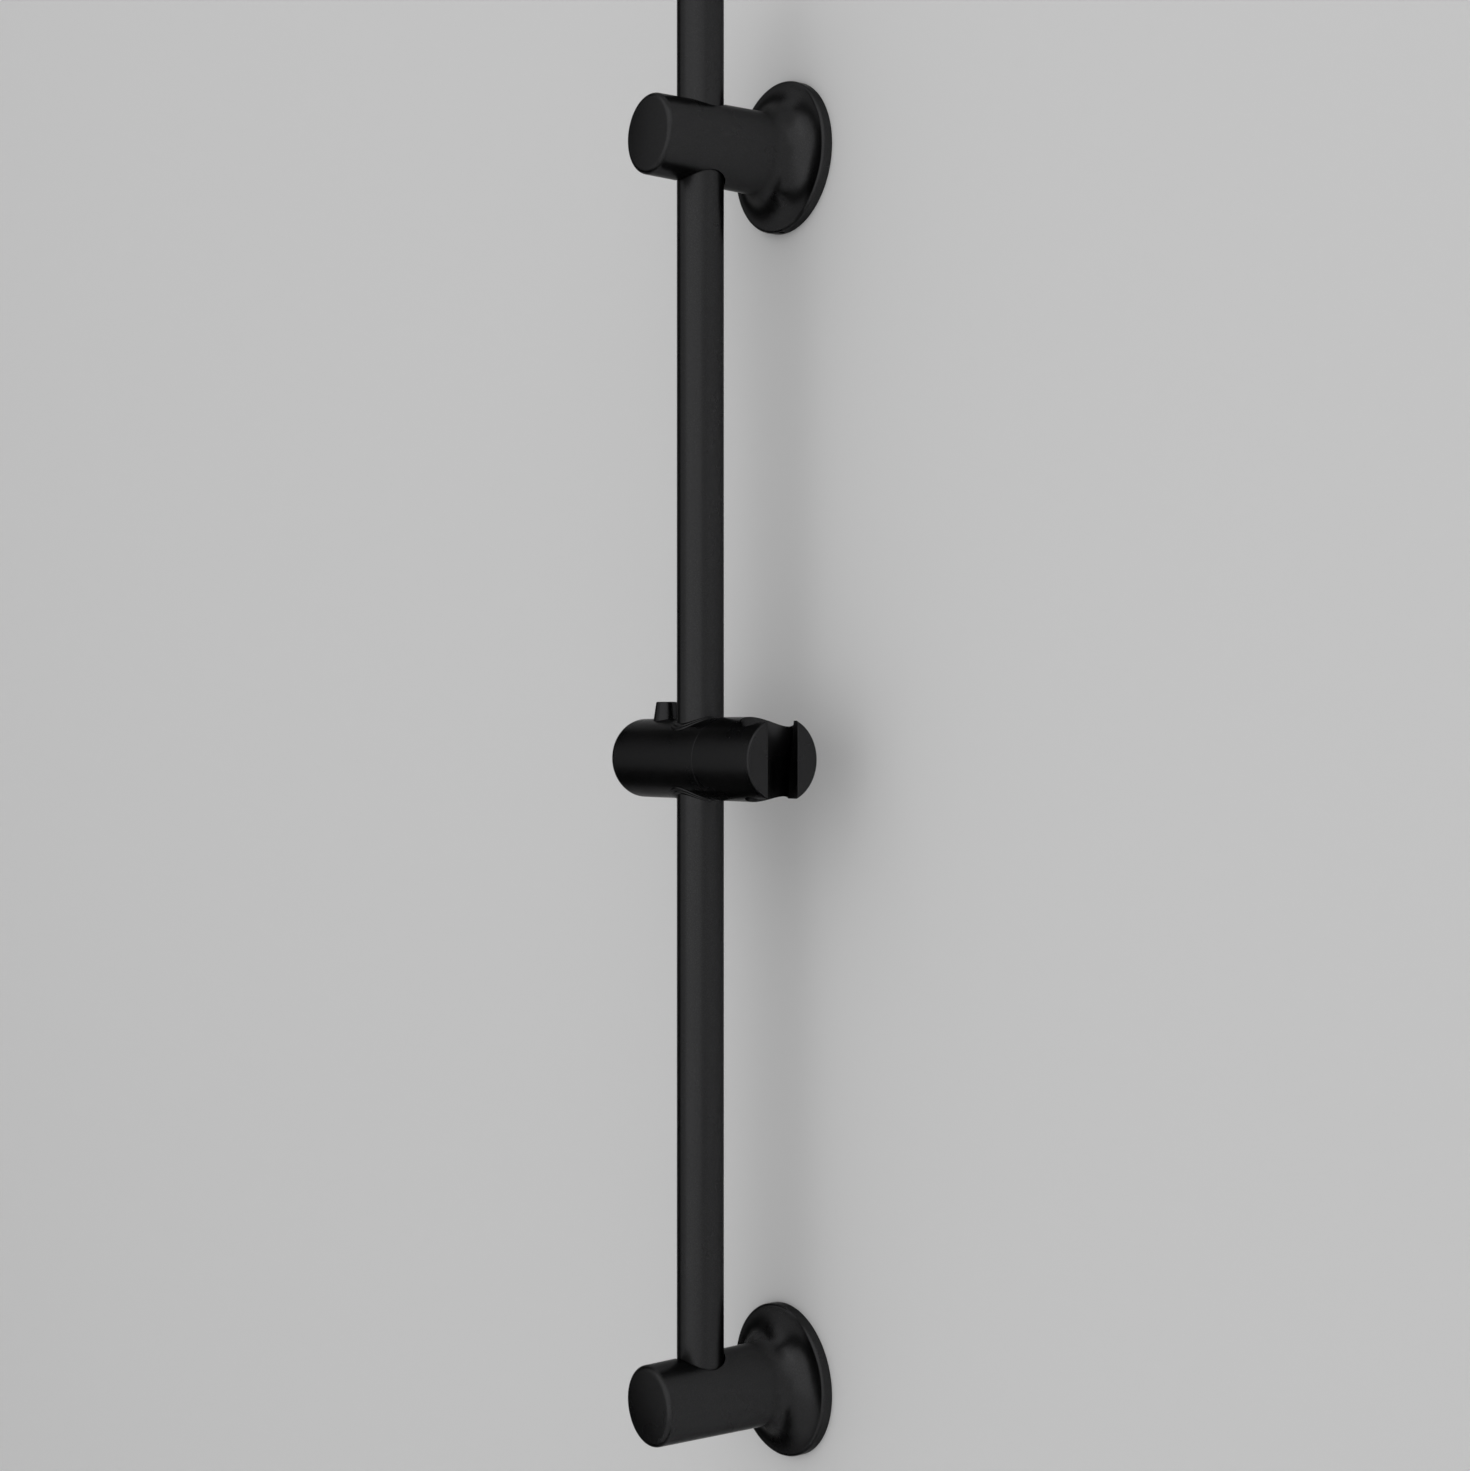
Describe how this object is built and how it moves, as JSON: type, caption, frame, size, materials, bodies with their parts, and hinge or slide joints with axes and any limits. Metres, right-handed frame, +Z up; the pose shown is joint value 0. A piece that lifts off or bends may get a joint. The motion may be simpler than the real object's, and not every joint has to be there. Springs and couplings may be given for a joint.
{
  "type": "shower slide rail",
  "caption": "Matte black round shower rail on bell-shaped wall brackets, with a push-button slider that carries a tilting slotted holder for a hand shower.",
  "frame": {"origin": "on the wall, at the centre of the lower bracket's wall fixing", "axes": "+Z up along the tube, +Y into the wall, +X to the right for someone who faces the wall"},
  "size_m": [0.1154, 0.08, 0.6997],
  "materials": {
    "coated_metal": "satin matte black coating",
    "black_plastic": "satin matte black moulding",
    "inner_plastic": "plain dark grey moulding",
    "steel": "plain bright steel",
    "pad_rubber": "plain black rubber"
  },
  "bodies": {
    "rail": {"rail_tube": "coated_metal", "rail_top_plug": "black_plastic", "upper_bracket": "coated_metal", "upper_wall_plate": "steel", "upper_plate_screw": "steel", "upper_rail_bush": "inner_plastic", "upper_rail_screw": "steel", "lower_bracket": "coated_metal", "lower_wall_plate": "steel", "lower_plate_screw": "steel", "lower_rail_bush": "inner_plastic", "lower_rail_screw": "steel"},
    "carriage": {"grip_sleeve": "inner_plastic"},
    "slider": {"slider_body": "black_plastic", "upper_guide_bush": "black_plastic", "lower_guide_bush": "black_plastic", "brake_spring": "steel", "holder_washer": "inner_plastic"},
    "holder": {"handset_holder": "black_plastic", "holder_pivot_screw": "steel"},
    "button": {"release_button": "black_plastic"},
    "brake": {"brake_shoe": "inner_plastic", "brake_pad": "pad_rubber"}
  },
  "joints": [
    {"name": "height_slide", "type": "slide", "parent": "rail", "child": "carriage", "axis": [0, 0, 1], "range_m": [-0.2565, 0.2455]},
    {"name": "swivel", "type": "hinge", "parent": "carriage", "child": "slider", "pos_m": [0, -0.05, 0.2975], "axis": [0, 0, 1], "range_deg": [-45, 30]},
    {"name": "holder_tilt", "type": "hinge", "parent": "slider", "child": "holder", "pos_m": [0.0205, -0.05, 0.2975], "axis": [1, 0, 0], "range_deg": [-45, 45]},
    {"name": "button_press", "type": "slide", "parent": "slider", "child": "button", "axis": [0, 0, -1], "range_m": [0, 0.003], "stiffness_N_per_m": 1500, "springref_m": -0.002},
    {"name": "brake_release", "type": "slide", "parent": "slider", "child": "brake", "axis": [-1, 0, 0], "range_m": [0, 0.00121], "deforming": ["brake_spring"]}
  ],
  "couplings": [
    {"joint": "brake_release", "follows": "button_press", "ratio": 0.4}
  ]
}
